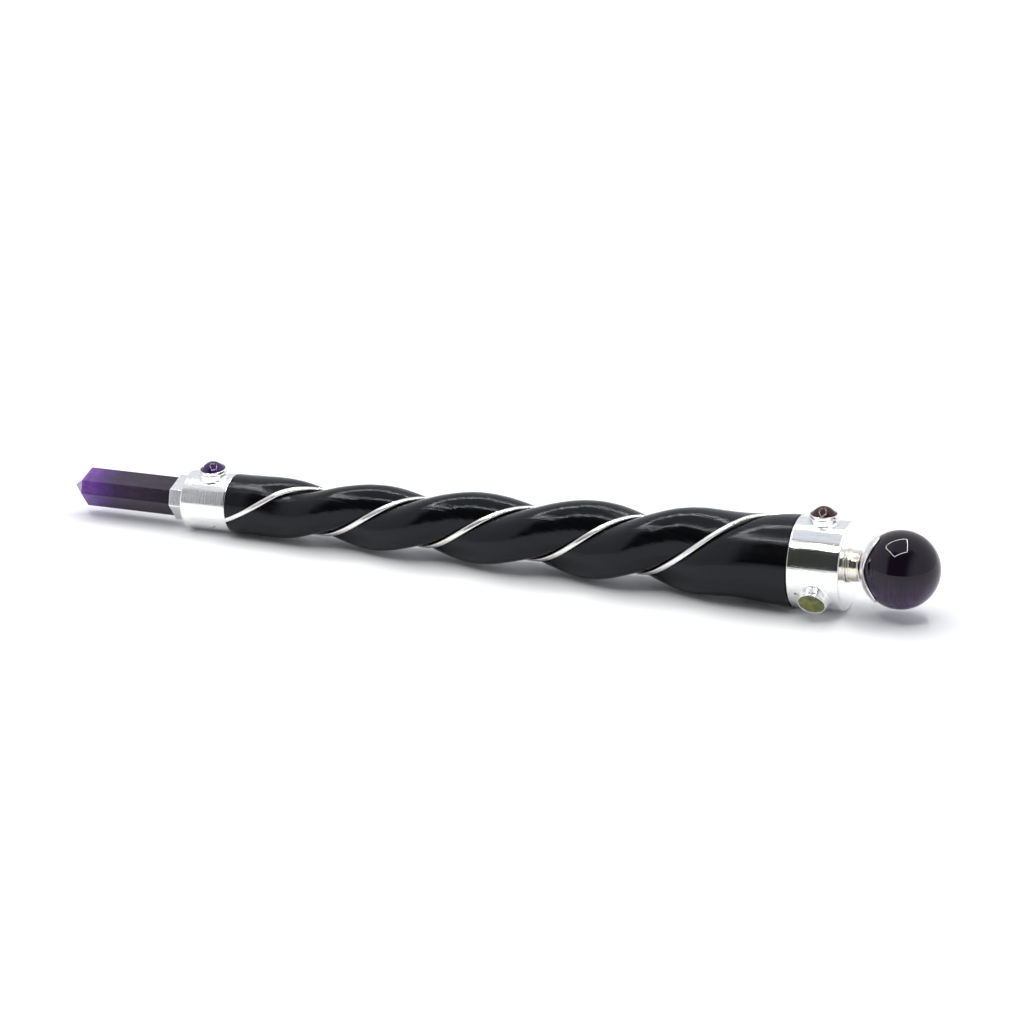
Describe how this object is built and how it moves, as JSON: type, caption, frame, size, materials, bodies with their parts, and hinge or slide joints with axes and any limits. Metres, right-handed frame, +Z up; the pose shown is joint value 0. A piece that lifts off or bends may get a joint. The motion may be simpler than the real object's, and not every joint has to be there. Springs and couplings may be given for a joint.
{
  "type": "magic wand",
  "caption": "Crystal wand lying on its side: twisted ebony shaft inlaid with silver wire, silver ferrules set with stones, a pointed crystal at one end and a ball at the other.",
  "frame": {"origin": "under the middle of the wand's box, on the surface it lies on", "axes": "+X along the wand from the crystal point to the ball, +Z up, -Y towards the viewer; the axis leans 1.3 degrees down towards the point, as the tapered wand does when it lies flat"},
  "size_m": [0.2436, 0.0268, 0.0273],
  "materials": {
    "ebony": "semi-gloss, hand tooled",
    "silver": "polished silver with fine scratches",
    "wire_silver": "polished silver wire",
    "hammered_silver": "hammered silver, warm tarnish",
    "steel": "plain",
    "point_amethyst": "polished, with smoky inclusions",
    "cabochon_amethyst": "polished dome",
    "ball_amethyst": "polished, banded",
    "garnet": "polished dome",
    "peridot": "faceted",
    "topaz": "faceted"
  },
  "bodies": {
    "root": {"amethyst_point": "point_amethyst", "tip_cup": "silver", "front_end_disc": "silver", "front_ferrule": "silver", "front_brad_1": "steel", "front_brad_2": "steel", "amethyst_cabochon_bezel": "silver", "amethyst_cabochon": "cabochon_amethyst", "shaft": "ebony", "wire_1": "wire_silver", "wire_2": "wire_silver", "rear_ferrule": "silver", "rear_brad_1": "steel", "rear_brad_2": "steel", "rear_end_disc": "silver", "garnet_cabochon_bezel": "silver", "garnet_cabochon": "garnet", "peridot_bezel": "silver", "peridot": "peridot", "blue_topaz_bezel": "silver", "blue_topaz": "topaz", "neck": "hammered_silver", "stem": "steel", "petal_cup": "silver", "ball": "ball_amethyst"}
  },
  "joints": []
}
